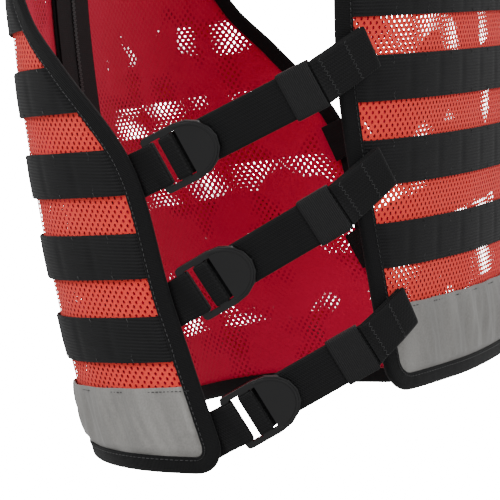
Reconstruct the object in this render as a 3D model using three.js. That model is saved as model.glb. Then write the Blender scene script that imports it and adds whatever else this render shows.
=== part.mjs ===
import * as THREE from 'three';
import { mergeVertices } from 'three/addons/utils/BufferGeometryUtils.js';

// Utility work vest, millimetres, +Z up, front towards -Y, the wearer's left towards +X.
// The origin is the point midway between the shoulders, at the height of the shoulder line.
const vestHeight = 620;
const backHemLift = 38;
const chestHeight = 400;
const chestHalfWidth = 186;
const chestFrontDepth = 146;
const chestBackDepth = 126;
const sectionPower = 2.5;
const neckHalfWidth = 84;
const shoulderSlope = 0.36;

// Cloth walls and the clear space between two layers of cloth.
const meshThickness = 1.2;
const tapeThickness = 1.0;
const webbingThickness = 1.3;
const layerGap = 0.88;
const stitchGap = 0.9;

const bindingWidth = 10;
const webbingWidth = 25;
const rowPitch = 46;
const firstRowHeight = 64;
const backRowLift = 7;
const frontRowCount = 6;
const backRowCount = 7;
const reflectiveHeight = 50;
const gatherHeight = 1.4;
const gatherFade = 34;
const gatherPitch = 26;
// The front rows run down towards the zip by this much, while the hem stays level.
const frontRowDrop = 12;
const frontCornerRadius = 20;
const backCornerRadius = 16;
const zipCornerRadius = 6;

const zipHalfGap = 13;
const zipTapeOverlap = 9;
const zipChainWidth = 5;
const zipChainThickness = 2.4;
const zipTop = 436;
const zipSliderLength = 11;
const placketWidth = 25;

// Ladder-lock buckle, measured along the strap from its fixed bar.
const buckleWidth = 33.5;
const bucklePlate = 3.2;
const fixedBar = 4.5;
const adjustSlot = 7;
const centreBar = 5.5;
const tabSlot = 4;
const tabLength = 20;
const buckleSideBar = 3.5;
const tabSideBar = 3.8;
const buckleFromEdge = 8;

const strapLayerGap = 0.35;
const keeperWidth = 19.5;
const foldLength = 32;
const strapEdgeLead = 13;
const strapBend = 4;
const loopTuck = 14;

// Shape of the body: heights are shares of chestHeight, the rest shares of the chest's own sizes.
const bodySections = [
  { height: 0.00, halfWidth: 0.860, frontDepth: 0.692, backDepth: 0.889 },
  { height: 0.25, halfWidth: 0.892, frontDepth: 0.865, backDepth: 0.921 },
  { height: 0.50, halfWidth: 0.935, frontDepth: 0.970, backDepth: 0.952 },
  { height: 0.75, halfWidth: 0.978, frontDepth: 1.000, backDepth: 0.984 },
  { height: 1.00, halfWidth: 1.000, frontDepth: 0.930, backDepth: 0.968 },
];

// Soft dents and swells of the body: where, how far they reach, and how deep, as shares of the chest.
const bodyFolds = [
  { angle: 38, height: 0.10, angleReach: 16, heightReach: 0.30, depth: 0.014 },
  { angle: -52, height: 0.22, angleReach: 14, heightReach: 0.35, depth: -0.020 },
  { angle: 158, height: 0.16, angleReach: 12, heightReach: 0.32, depth: -0.020 },
  { angle: 210, height: 0.30, angleReach: 14, heightReach: 0.40, depth: 0.018 },
  { angle: 64, height: 0.34, angleReach: 10, heightReach: 0.18, depth: -0.014 },
];

// Direction of each panel's side edge, degrees round from the middle of its own panel.
const frontSideEdge = [
  { height: 0.000, angle: 99.8 }, { height: 0.152, angle: 86.6 }, { height: 0.282, angle: 78.6 },
  { height: 0.369, angle: 62.0 }, { height: 0.413, angle: 52.5 }, { height: 0.484, angle: 43.5 },
  { height: 0.581, angle: 38.0 }, { height: 0.694, angle: 36.5 }, { height: 0.839, angle: 39.3 },
  { height: 0.968, angle: 46.6 }, { height: 1.000, angle: 48.8 },
];
const backSideEdge = [
  { height: 0.061, angle: 38.6 }, { height: 0.161, angle: 43.4 }, { height: 0.323, angle: 49.2 },
  { height: 0.435, angle: 49.6 }, { height: 0.516, angle: 48.0 }, { height: 0.581, angle: 45.4 },
  { height: 0.694, angle: 42.0 }, { height: 0.839, angle: 42.4 }, { height: 0.968, angle: 46.6 },
  { height: 1.000, angle: 48.8 },
];
const neckline = [
  { height: 0.710, halfWidth: 0.155 }, { height: 0.758, halfWidth: 0.36 },
  { height: 0.839, halfWidth: 0.66 }, { height: 0.919, halfWidth: 0.88 },
  { height: 1.000, halfWidth: 1.00 },
];
const backNeckDepth = 0.15;

// Each side's three straps: heights at the front edge and the back edge, shares of vestHeight, and
// how far the sewn end lies past the back edge, millimetres.
const strapStations = [
  { front: 0.037, back: 0.110, tail: 20 },
  { front: 0.153, back: 0.236, tail: 20 },
  { front: 0.268, back: 0.345, tail: 19 },
];

const rad = Math.PI / 180;
const legOutside = meshThickness + layerGap;
const rowTop = legOutside + webbingThickness;

// The two panels end just short of each other along the shoulder seam.
const seamHalfGap = 0.45;
const frontTop = vestHeight - seamHalfGap;

// The mesh ends inside its binding, further in at the hem and the shoulders, and meets the neck binding.
const meshInset = 4;
const hemInset = 1.05 * meshInset;
const neckInset = bindingWidth + 0.7;
const shoulderInset = 2 * meshInset;
const shoulderHeight = 0.9 * vestHeight;
const bindingReach = bindingWidth + stitchGap;
const bandInset = bindingReach + 0.6;

// The front's side edge swings in under the arm between these heights, and the armhole opens above them.
const swingLow = 0.24 * vestHeight;
const swingHigh = 0.45 * vestHeight;
const armholeHeight = 0.3 * vestHeight;
// Shares of the back panel's half width where its top line and its side line are looked for.
const topLineShare = 0.88;
const sideLineShare = 0.72;

// The plain strip lies beside the zip's binding on the wearer's right.
const placketInnerX = zipHalfGap + bindingReach;
const placketOuterX = placketInnerX + placketWidth;

// Heights of the strap's layers above the underside of the buckle's plate.
const tailLevel = -strapLayerGap - webbingThickness / 2;
const loadLevel = tailLevel - strapLayerGap - webbingThickness;
const overBar = bucklePlate + strapLayerGap + webbingThickness / 2;
const foldLevel = tailLevel + strapLayerGap + webbingThickness;
const loopHigh = 2.5;
const bendCut = 0.55;

function material(color, roughness, metalness = 0) {
  return new THREE.MeshStandardMaterial({ color, roughness, metalness });
}
const meshCloth = material(0xee5644, 0.85);
const blackWebbing = material(0x252526, 0.8);
const blackTape = material(0x262627, 0.85);
const reflectiveTape = material(0x969591, 0.5);
const elastic = material(0x202021, 0.75);
const plastic = material(0x141414, 0.35);

// Smooth reading of a table's column at a place, with the slope of the neighbouring rows.
function read(table, place, column) {
  const last = table.length - 1;
  if (place <= table[0].height) return table[0][column];
  if (place >= table[last].height) return table[last][column];
  let i = 0;
  while (place > table[i + 1].height) i += 1;
  const slope = (k) => {
    const low = table[Math.max(k - 1, 0)];
    const high = table[Math.min(k + 1, last)];
    return (high[column] - low[column]) / (high.height - low.height);
  };
  const span = table[i + 1].height - table[i].height;
  const t = (place - table[i].height) / span;
  const rise = table[i + 1][column] - table[i][column];
  const smooth = t * t * (3 - 2 * t);
  const bend = t * (1 - t) * span * ((1 - t) * slope(i) - t * slope(i + 1));
  return table[i][column] + smooth * rise + bend;
}

// The body's skin: a rounded-square section that grows to the chest and closes over the shoulders.
// angle runs in degrees from the middle of the front, positive towards the wearer's left.
function skin(angle, height) {
  const share = height / chestHeight;
  const top = vestHeight - chestHeight;
  const lift = Math.min(Math.max(height - chestHeight, 0) / top, 1) * Math.PI / 2;
  const front = Math.abs(angle) < 90;
  const halfWidth = chestHalfWidth * read(bodySections, share, 'halfWidth');
  const depth = front ? chestFrontDepth * read(bodySections, share, 'frontDepth')
    : chestBackDepth * read(bodySections, share, 'backDepth');
  const s = Math.sin(angle * rad);
  const c = Math.cos(angle * rad);
  const round = (Math.abs(s) ** sectionPower + Math.abs(c) ** sectionPower) ** (-1 / sectionPower);
  const fold = bodyFolds.reduce((sum, f) => sum + f.depth * Math.exp(
    -(((angle - f.angle) / f.angleReach) ** 2) - ((share - f.height) / f.heightReach) ** 2), 1);
  const x = halfWidth * round * s * fold;
  const y = -depth * round * c * Math.cos(lift) * fold;
  const fall = Math.max(Math.abs(x) - neckHalfWidth, 0) * shoulderSlope * Math.sin(lift) ** 2;
  const z = Math.min(height, chestHeight) + top * Math.sin(lift) - fall - vestHeight;
  return new THREE.Vector3(x, y, z);
}

// Local frame of the skin: its point, its outward normal and its two rates of change.
function skinFrame(angle, height) {
  const step = 0.05;
  const point = skin(angle, height);
  const low = Math.min(height, vestHeight - step);
  const perAngle = skin(angle + step, low).sub(skin(angle - step, low)).divideScalar(2 * step);
  const perHeight = skin(angle, low + step).sub(skin(angle, low - step)).divideScalar(2 * step);
  const normal = perAngle.clone().cross(perHeight).normalize();
  return { point, normal, perAngle, perHeight };
}

function skinPoint(angle, height, offset) {
  const { point, normal } = skinFrame(angle, height);
  return point.addScaledVector(normal, offset);
}

// Turns a step in space that lies in the skin into a step in angle and height.
function skinStep(frame, step) {
  const aa = frame.perAngle.dot(frame.perAngle);
  const ah = frame.perAngle.dot(frame.perHeight);
  const hh = frame.perHeight.dot(frame.perHeight);
  const a = frame.perAngle.dot(step);
  const h = frame.perHeight.dot(step);
  const det = aa * hh - ah * ah;
  return { angle: (a * hh - h * ah) / det, height: (h * aa - a * ah) / det };
}

function addMesh(group, name, vertices, faces, look) {
  const geometry = new THREE.BufferGeometry();
  const positions = vertices.flatMap((v) => [v.x, v.y, v.z]);
  geometry.setAttribute('position', new THREE.Float32BufferAttribute(positions, 3));
  const volume = faces.reduce((sum, [a, b, c]) => sum + vertices[a].dot(
    vertices[b].clone().cross(vertices[c])), 0);
  geometry.setIndex(faces.flatMap(([a, b, c]) => (volume > 0 ? [a, b, c] : [a, c, b])));
  geometry.computeVertexNormals();
  const mesh = new THREE.Mesh(geometry, look);
  mesh.name = name;
  group.add(mesh);
}

// Closed sheet over a grid of places on the skin, between two offsets; swell lifts both faces.
function sheet(name, grid, inside, outside, look, swell = () => 0) {
  const rows = grid.length;
  const columns = grid[0].length;
  const vertices = [];
  for (const offset of [inside, outside]) {
    for (const row of grid) {
      for (const [angle, height] of row) {
        vertices.push(skinPoint(angle, height, offset + swell(angle, height)));
      }
    }
  }
  const at = (layer, r, c) => (layer * rows + r) * columns + c;
  const faces = [];
  const quad = (a, b, c, d) => faces.push([a, b, c], [a, c, d]);
  for (let r = 0; r < rows - 1; r += 1) {
    for (let c = 0; c < columns - 1; c += 1) {
      quad(at(1, r, c), at(1, r, c + 1), at(1, r + 1, c + 1), at(1, r + 1, c));
      quad(at(0, r, c), at(0, r + 1, c), at(0, r + 1, c + 1), at(0, r, c + 1));
    }
  }
  for (let c = 0; c < columns - 1; c += 1) {
    quad(at(0, 0, c), at(0, 0, c + 1), at(1, 0, c + 1), at(1, 0, c));
    quad(at(0, rows - 1, c + 1), at(0, rows - 1, c), at(1, rows - 1, c), at(1, rows - 1, c + 1));
  }
  for (let r = 0; r < rows - 1; r += 1) {
    quad(at(0, r + 1, 0), at(0, r, 0), at(1, r, 0), at(1, r + 1, 0));
    quad(at(0, r, columns - 1), at(0, r + 1, columns - 1), at(1, r + 1, columns - 1), at(1, r, columns - 1));
  }
  addMesh(vest, name, vertices, faces, look);
}

// A section carried through a row of places; a closed run joins its end to its start.
// A flat ribbon's faces are split along their shorter diagonal, so its layers stay parallel.
function sweep(name, rings, closed, look) {
  const count = rings[0].length;
  const flat = count === 4;
  const vertices = rings.flat();
  const faces = [];
  const runs = closed ? rings.length : rings.length - 1;
  for (let i = 0; i < runs; i += 1) {
    const next = (i + 1) % rings.length;
    for (let k = 0; k < count; k += 1) {
      const a = i * count + k;
      const b = i * count + ((k + 1) % count);
      const c = next * count + ((k + 1) % count);
      const d = next * count + k;
      const long = vertices[a].distanceTo(vertices[c]) > vertices[b].distanceTo(vertices[d]);
      if (flat && long) faces.push([a, b, d], [b, c, d]);
      else faces.push([a, b, c], [a, c, d]);
    }
  }
  if (!closed) {
    const end = (rings.length - 1) * count;
    for (let k = 1; k < count - 1; k += 1) faces.push([0, k + 1, k], [end, end + k, end + k + 1]);
  }
  addMesh(vest, name, vertices, faces, look);
}

const spread = (from, to, count) => (
  Array.from({ length: count + 1 }, (_, i) => from + (to - from) * i / count));

// How far a rounded hem corner pulls the side edge in at a height above the hem.
function cornerPull(above, radius) {
  if (above >= radius) return 0;
  return radius - Math.sqrt(radius * radius - (radius - above) ** 2);
}

function angleAtX(x, height, middle) {
  const halfWidth = chestHalfWidth * read(bodySections, height / chestHeight, 'halfWidth');
  const share = Math.min(Math.abs(x) / halfWidth, 0.99);
  const angle = Math.atan(share / (1 - share ** sectionPower) ** (1 / sectionPower)) / rad;
  return middle === 0 ? Math.sign(x) * angle : 180 - Math.sign(x) * angle;
}

// Moves an angle in from an edge by a length measured along the skin.
function pulledIn(angle, height, length) {
  return angle - length / skinFrame(angle, height).perAngle.length();
}

// Edges of the left front panel, from its hem to the shoulder, as angles from the front's middle.
function frontOuter(height) {
  const edge = read(frontSideEdge, height / vestHeight, 'angle');
  return pulledIn(edge, height, cornerPull(height, frontCornerRadius));
}
function frontInnerX(height) {
  const open = read(neckline, height / vestHeight, 'halfWidth') * neckHalfWidth;
  return Math.max(height / vestHeight < neckline[0].height ? zipHalfGap : open,
    zipHalfGap) + cornerPull(height, zipCornerRadius);
}
function frontInner(height) {
  return angleAtX(frontInnerX(height), height, 0);
}
// Edge of the back panel on the wearer's left, as an angle from the front's middle.
function backOuter(height) {
  const edge = read(backSideEdge, height / vestHeight, 'angle');
  return 180 - pulledIn(edge, height, cornerPull(height - backHemLift, backCornerRadius));
}
function backTop(share) {
  const reach = share * (180 - backOuter(vestHeight));
  const x = skin(180 - reach, vestHeight - 1).x;
  const dip = Math.max(1 - (Math.abs(x) / neckHalfWidth) ** 2.2, 0);
  return vestHeight - seamHalfGap - dip * backNeckDepth * vestHeight;
}
const cornerHeights = (from, radius) => [0, 0.08, 0.3, 0.65, 1].map((share) => from + radius * share);

// Closed outlines of the panels as [angle, height] places.
function frontOutline() {
  const zipHeights = [...cornerHeights(0, zipCornerRadius).slice(0, 4),
    ...spread(zipCornerRadius, zipTop, 8)];
  const neckHeights = spread(zipTop, frontTop, 9).slice(1);
  const sideHeights = [...cornerHeights(0, frontCornerRadius),
    ...spread(frontCornerRadius, swingLow, 4).slice(1), ...spread(swingLow, swingHigh, 8).slice(1),
    ...spread(swingHigh, chestHeight, 3).slice(1), ...spread(chestHeight, frontTop, 9).slice(1)];
  const hem = spread(frontInner(0), frontOuter(0), 12).slice(1, -1).map((angle) => [angle, 0]);
  const seam = spread(frontOuter(frontTop), frontInner(frontTop), 4).slice(1, -1)
    .map((angle) => [angle, frontTop]);
  return [...hem, ...sideHeights.map((h) => [frontOuter(h), h]), ...seam,
    ...[...zipHeights, ...neckHeights].reverse().map((h) => [frontInner(h), h])];
}
function backOutline() {
  const hem = spread(-1, 1, 15).slice(1, -1)
    .map((u) => [180 - u * (180 - backOuter(backHemLift)), backHemLift]);
  const heights = [...cornerHeights(backHemLift, backCornerRadius),
    ...spread(backHemLift + backCornerRadius, chestHeight, 7).slice(1),
    ...spread(chestHeight, backTop(1), 9).slice(1)];
  const top = spread(-1, 1, 22).slice(1, -1).map((u) => {
    const height = backTop(u);
    return [180 - u * (180 - backOuter(height)), height];
  });
  const side = heights.map((h) => [backOuter(h), h]);
  const other = heights.map((h) => [360 - backOuter(h), h]);
  return [...hem, ...side, ...top.reverse(), ...other.reverse()];
}

// Shortest way from a place on the skin to a closed outline.
function clearOf(outlinePoints, angle, height) {
  const point = skin(angle, height);
  const line = new THREE.Line3();
  const nearest = new THREE.Vector3();
  let best = Infinity;
  outlinePoints.forEach((start, i) => {
    line.set(start, outlinePoints[(i + 1) % outlinePoints.length]);
    line.closestPointToPoint(point, true, nearest);
    best = Math.min(best, nearest.distanceTo(point));
  });
  return best;
}
// Goes out from a clear place towards an edge until only the wanted clearance is left.
function reach(outlinePoints, from, to, clearance) {
  let inside = 0;
  let outside = 1;
  for (let i = 0; i < 22; i += 1) {
    const middle = (inside + outside) / 2;
    const angle = from[0] + (to[0] - from[0]) * middle;
    const height = from[1] + (to[1] - from[1]) * middle;
    if (clearOf(outlinePoints, angle, height) >= clearance) inside = middle;
    else outside = middle;
  }
  return [from[0] + (to[0] - from[0]) * inside, from[1] + (to[1] - from[1]) * inside];
}

// Lowers a front panel's places towards the zip, from nothing at the side edge.
function dropped(side, places) {
  if (side === 'back') return places;
  return places.map(([angle, height]) => {
    const share = Math.max(1 - Math.abs(angle) / frontOuter(height), 0);
    return [angle, height - frontRowDrop * share];
  });
}

const mirrored = (outline) => outline.map(([angle, height]) => [-angle, height]);
const outlines = { left: frontOutline(), right: mirrored(frontOutline()), back: backOutline() };
const edges = Object.fromEntries(Object.entries(outlines).map(([side, outline]) => (
  [side, outline.map(([angle, height]) => skin(angle, height))])));
const vest = new THREE.Group();

// A level line of places across a panel, kept clear of the panel's outline at both ends.
function levelLine(side, height, clearance, columns) {
  let ends;
  if (side === 'back') {
    const left = reach(edges.back, [180, height], [backOuter(height), height], clearance)[0];
    ends = [left, 360 - left];
  } else {
    const sign = side === 'left' ? 1 : -1;
    const inner = frontInner(height) * sign;
    const outer = frontOuter(height) * sign;
    const middle = (inner + outer) / 2;
    ends = [inner, outer].map((edge) => reach(edges[side], [middle, height], [edge, height], clearance)[0]);
  }
  return spread(ends[0], ends[1], columns).map((angle) => [angle, height]);
}

function frontPanel(side) {
  const heights = [...cornerHeights(hemInset, frontCornerRadius - meshInset).slice(0, 4),
    ...spread(frontCornerRadius + 2 * meshInset, swingLow, 3), ...spread(swingLow, swingHigh, 7).slice(1),
    ...spread(swingHigh, chestHeight, 3).slice(1), zipTop,
    ...spread(zipTop, vestHeight - 2 * meshInset, 9).slice(1)];
  const grid = heights.map((height) => levelLine(side, height, meshInset, 9));
  sheet(`front_mesh_${side}`, grid, 0, meshThickness, meshCloth);
}

function backPanel() {
  const shares = spread(-1, 1, 20);
  const low = backHemLift + hemInset;
  const shoulderShare = (chestHeight - low) / (vestHeight - low);
  const rises = [...spread(0, shoulderShare, 8), ...spread(shoulderShare, 1, 14).slice(1)];
  const inside = (height) => {
    const edge = 180 - backOuter(height);
    const start = [180 - sideLineShare * edge, height];
    const inset = height > shoulderHeight ? shoulderInset : meshInset;
    return 180 - reach(edges.back, start, [180 - edge, height], inset)[0];
  };
  const tops = shares.map((share) => {
    const inner = Math.max(Math.min(share, topLineShare), -topLineShare);
    const away = inner * inside(vestHeight - 2 * neckInset);
    const top = backTop(away / (180 - backOuter(vestHeight)));
    return reach(edges.back, [180 - away, chestHeight], [180 - away, top], neckInset)[1];
  });
  const grid = rises.map((rise) => shares.map((share, i) => {
    const height = low + (tops[i] - low) * rise;
    return [180 - share * inside(height), height];
  }));
  sheet('back_mesh', grid, 0, meshThickness, meshCloth);
}

// Folded tape round a panel's edge: a channel with the cloth inside it.
function binding(side) {
  const outline = outlines[side];
  const count = outline.length;
  const low = -layerGap - tapeThickness;
  const high = meshThickness + layerGap + tapeThickness;
  const section = [
    [0, low], [bindingWidth, low], [bindingWidth, -layerGap], [tapeThickness, -layerGap],
    [tapeThickness, meshThickness + layerGap], [bindingWidth, meshThickness + layerGap],
    [bindingWidth, high], [0, high],
  ];
  const rings = outline.map(([angle, height], i) => {
    const frame = skinFrame(angle, height);
    const here = edges[side][i];
    const before = here.clone().sub(edges[side][(i + count - 1) % count]).normalize();
    const after = edges[side][(i + 1) % count].clone().sub(here).normalize();
    const along = before.clone().add(after).normalize();
    const miter = 1 / Math.max(along.dot(after), 0.5);
    const turn = side === 'left' ? 1 : -1;
    const inward = frame.normal.clone().cross(along).normalize().multiplyScalar(turn * miter);
    const step = skinStep(frame, inward);
    return section.map(([inside, offset]) => (
      skinPoint(angle + step.angle * inside, Math.min(height + step.height * inside, frontTop), offset)));
  });
  sweep(side === 'back' ? 'back_binding' : `front_binding_${side}`, rings, true, blackTape);
}

function webbingRows(side, hem, count) {
  const name = side === 'back' ? 'back_webbing' : `front_webbing_${side}`;
  for (let row = 0; row < count; row += 1) {
    const low = hem + firstRowHeight + row * rowPitch;
    const atArmhole = side !== 'back' && low > armholeHeight;
    const grid = spread(low, low + webbingWidth, atArmhole ? 2 : 1).map((height) => {
      const line = levelLine(side, height, bindingReach, side === 'back' ? 11 : 8);
      if (side !== 'right') return dropped(side, line);
      const clear = -angleAtX(placketOuterX + stitchGap, height, 0);
      return dropped(side, spread(clear, line[line.length - 1][0], 8).map((angle) => [angle, height]));
    });
    sheet(`${name}_${row + 1}`, grid, legOutside, rowTop, blackWebbing);
  }
}

// Grey band above the hem binding, drawn into soft upright gathers.
function reflectiveBand(side, hem) {
  const heights = [bandInset, bindingReach + 5, frontCornerRadius + 4, reflectiveHeight].map((h) => hem + h);
  const columns = side === 'back' ? 24 : 16;
  const low = heights[0];
  const rise = reflectiveHeight - bandInset;
  const grid = heights.map((height) => {
    const line = levelLine(side, height, bindingReach, columns);
    const clear = -angleAtX(placketOuterX + stitchGap, height, 0);
    const row = side !== 'right' ? line
      : spread(clear, line[line.length - 1][0], columns).map((angle) => [angle, height]);
    const lowered = dropped(side, row);
    return row.map(([angle], i) => [angle, height - (height - lowered[i][1]) * (height - low) / rise]);
  });
  const middle = hem + (bindingReach + reflectiveHeight) / 2;
  const edge = side === 'back' ? 180 - backOuter(middle) : frontOuter(middle);
  const swell = (angle, height) => {
    const way = angle * rad * chestHalfWidth / gatherPitch * Math.PI;
    const inwards = edge - Math.abs(side === 'back' ? 180 - angle : angle);
    const fromEdge = inwards * skinFrame(angle, height).perAngle.length();
    const fade = Math.max(1 - ((height - middle) / (reflectiveHeight / 2)) ** 2, 0);
    return gatherHeight * fade * Math.min(Math.max(fromEdge / gatherFade - 1, 0), 1) * Math.sin(way) ** 2;
  };
  sheet(side === 'back' ? 'back_reflective' : `front_reflective_${side}`, grid, legOutside,
    legOutside + tapeThickness, reflectiveTape, swell);
}

// Closed zip behind the front edges, and the plain strip beside it on the wearer's right.
function uprightStrip(name, fromX, toX, low, high, inside, outside, look) {
  const grid = spread(low, high, 8).map((height) => (
    [fromX, toX].map((x) => [angleAtX(x, height, 0), height])));
  sheet(name, grid, inside, outside, look);
}

function frontZip() {
  const outside = -layerGap - tapeThickness - layerGap;
  const tapeInner = zipChainWidth / 2 + 0.3;
  const tapeOuter = zipHalfGap + zipTapeOverlap;
  const low = zipCornerRadius / 2;
  const inside = outside - tapeThickness;
  uprightStrip('zip_tape_left', tapeInner, tapeOuter, low, zipTop, inside, outside, blackTape);
  uprightStrip('zip_tape_right', -tapeOuter, -tapeInner, low, zipTop, inside, outside, blackTape);
  const half = zipChainWidth / 2;
  const chainMiddle = outside - tapeThickness / 2;
  const chainTop = zipTop - zipSliderLength - 0.3;
  uprightStrip('zip_chain', -half, half, low, chainTop, chainMiddle - zipChainThickness / 2,
    chainMiddle + zipChainThickness / 2, plastic);
  uprightStrip('zip_slider', -half, half, zipTop - zipSliderLength, zipTop, chainMiddle - zipChainThickness,
    chainMiddle + zipChainThickness, plastic);
  uprightStrip('front_placket', -placketOuterX, -placketInnerX, bandInset, zipTop - bindingWidth,
    legOutside, legOutside + tapeThickness, blackTape);
}

// One side strap's own space: along the strap from the buckle's fixed bar, across it, and up off it.
// It is straight over the open side, and lies on the panels past each edge.
function strapSpace(station, hand) {
  const frontHeight = station.front * vestHeight;
  const backHeight = station.back * vestHeight;
  const frontPlace = [hand * frontOuter(frontHeight), frontHeight];
  const leadIn = skinFrame(backOuter(backHeight), backHeight).perAngle.length();
  const backPlace = [180 - hand * (180 - backOuter(backHeight) + strapEdgeLead / leadIn), backHeight];
  const frontBase = -layerGap - tapeThickness - layerGap - strapLayerGap - webbingThickness / 2 - loopHigh;
  const backBase = rowTop + layerGap + webbingThickness / 2 - loadLevel;
  const from = skinPoint(...frontPlace, frontBase);
  const to = skinPoint(...backPlace, backBase);
  const along = to.clone().sub(from).normalize();
  const length = to.distanceTo(from) - buckleFromEdge;
  const outward = skinFrame(...frontPlace).normal.clone().add(skinFrame(...backPlace).normal);
  const up = outward.addScaledVector(along, -outward.dot(along)).normalize();
  const side = up.clone().cross(along);
  const origin = from.clone().addScaledVector(along, buckleFromEdge);
  const straight = (s, w, n) => (
    origin.clone().addScaledVector(along, s).addScaledVector(side, w).addScaledVector(up, n));
  const onSkin = (place, base, s, w, n) => {
    const start = skinFrame(...place);
    const flat = along.clone().addScaledVector(start.normal, -along.dot(start.normal)).normalize();
    const step = skinStep(start, flat);
    const frame = skinFrame(place[0] + step.angle * s, place[1] + step.height * s);
    const heading = frame.perAngle.clone().multiplyScalar(step.angle)
      .addScaledVector(frame.perHeight, step.height).normalize();
    const across = frame.normal.clone().cross(heading);
    return frame.point.clone().addScaledVector(frame.normal, base + n).addScaledVector(across, w);
  };
  const place = (s, w, n) => {
    const before = -buckleFromEdge - 1;
    if (s > length + strapBend) return onSkin(backPlace, backBase, s - length, w, n);
    if (s > length) {
      const laid = onSkin(backPlace, backBase, strapBend, w, n);
      return straight(length, w, n).lerp(laid, (s - length) / strapBend);
    }
    if (s < before) return onSkin(frontPlace, frontBase, s + buckleFromEdge, w, n);
    if (s < -1) {
      return onSkin(frontPlace, frontBase, -1, w, n).lerp(straight(-1, w, n), (s - before) / (-1 - before));
    }
    return straight(s, w, n);
  };
  return { place, length };
}

// Flat ribbon along a path of [s, n] places, with mitred bends, 25 mm wide.
function ribbon(name, path, place, thickness, look) {
  const half = webbingWidth / 2;
  const rings = path.map(([s, n], i) => {
    const here = new THREE.Vector2(s, n);
    const before = i > 0 ? here.clone().sub(new THREE.Vector2(...path[i - 1])).normalize() : null;
    const after = i < path.length - 1 ? new THREE.Vector2(...path[i + 1]).sub(here).normalize() : null;
    const heading = (before || after).clone().add(after || before).normalize();
    const miter = thickness / 2 / Math.max(heading.dot(after || before), 0.6);
    const [ds, dn] = [-heading.y * miter, heading.x * miter];
    return [place(s + ds, half, n + dn), place(s - ds, half, n - dn),
      place(s - ds, -half, n - dn), place(s + ds, -half, n + dn)];
  });
  sweep(name, rings, false, look);
}

function strapPath(length, tail) {
  const barStart = fixedBar + adjustSlot;
  const barEnd = barStart + centreBar;
  const room = strapLayerGap + webbingThickness / 2;
  const upTurn = barStart - room;
  const downTurn = barEnd + room;
  const edge = length + strapEdgeLead;
  const end = edge + tail;
  const spanSteps = [barEnd + 8, length];
  const backSteps = spread(length + strapBend, end, 3);
  const load = [...spanSteps, ...backSteps].map((s) => [s, loadLevel]);
  const turn = [[barStart + 1, loadLevel], [upTurn, loadLevel + 1.4], [upTurn, overBar - bendCut],
    [upTurn + bendCut, overBar], [downTurn - bendCut, overBar], [downTurn, overBar - bendCut],
    [downTurn, 0.6], [barEnd + 3, tailLevel]];
  const under = [...spanSteps, ...backSteps].map((s) => [s, tailLevel]);
  const foldStart = end - foldLength;
  const foldEnd = [end + 1.2, (tailLevel + foldLevel) / 2];
  const foldSteps = [length, ...backSteps].filter((s) => s > foldStart + 1);
  const fold = [foldStart, ...foldSteps].map((s) => [s, foldLevel]);
  return [...load.reverse(), ...turn, ...under, foldEnd, ...fold.reverse()];
}

function loopPath() {
  const room = strapLayerGap + webbingThickness / 2;
  const low = loopHigh - webbingThickness - strapLayerGap;
  const start = -buckleFromEdge - loopTuck;
  const turn = fixedBar + room;
  return [[start, loopHigh], [-buckleFromEdge - 2, loopHigh], [-1.2, overBar - 0.5], [0.6, overBar],
    [turn - bendCut, overBar], [turn, overBar - bendCut], [turn, bendCut - room], [turn - bendCut, -room],
    [0.6, -room], [-1.2, -0.3], [-buckleFromEdge - 2, low], [start, low]];
}

// Buckle plate with a round thumb tab, cut by the two slots.
function buckle(name, place) {
  const half = buckleWidth / 2;
  const corner = 3;
  const shoulder = fixedBar + adjustSlot + centreBar + tabSlot;
  const outline = new THREE.Shape();
  outline.moveTo(0, -half + corner);
  outline.lineTo(0, half - corner);
  outline.quadraticCurveTo(0, half, corner, half);
  outline.lineTo(shoulder, half);
  outline.absellipse(shoulder, 0, tabLength, half, Math.PI / 2, -Math.PI / 2, true);
  outline.lineTo(corner, -half);
  outline.quadraticCurveTo(0, -half, 0, -half + corner);
  const slots = [
    { from: fixedBar, to: fixedBar + adjustSlot, reach: half - buckleSideBar },
    { from: fixedBar + adjustSlot + centreBar, to: shoulder, reach: half - tabSideBar },
  ];
  for (const slot of slots) {
    const hole = new THREE.Path();
    hole.moveTo(slot.from, -slot.reach);
    hole.lineTo(slot.to, -slot.reach);
    hole.lineTo(slot.to, slot.reach);
    hole.lineTo(slot.from, slot.reach);
    outline.holes.push(hole);
  }
  const settings = { depth: bucklePlate, bevelEnabled: false, curveSegments: 4 };
  const geometry = new THREE.ExtrudeGeometry(outline, settings);
  geometry.deleteAttribute('normal');
  geometry.deleteAttribute('uv');
  const { index, attributes } = mergeVertices(geometry, 0.001);
  const positions = attributes.position;
  const vertices = Array.from({ length: positions.count }, (_, i) => (
    place(positions.getX(i), positions.getY(i), positions.getZ(i))));
  const corners = Array.from({ length: index.count / 3 }, (_, i) => (
    [0, 1, 2].map((k) => index.getX(3 * i + k))));
  const faces = corners.filter((face) => new Set(face).size === 3);
  addMesh(vest, name, vertices, faces, plastic);
}

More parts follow.
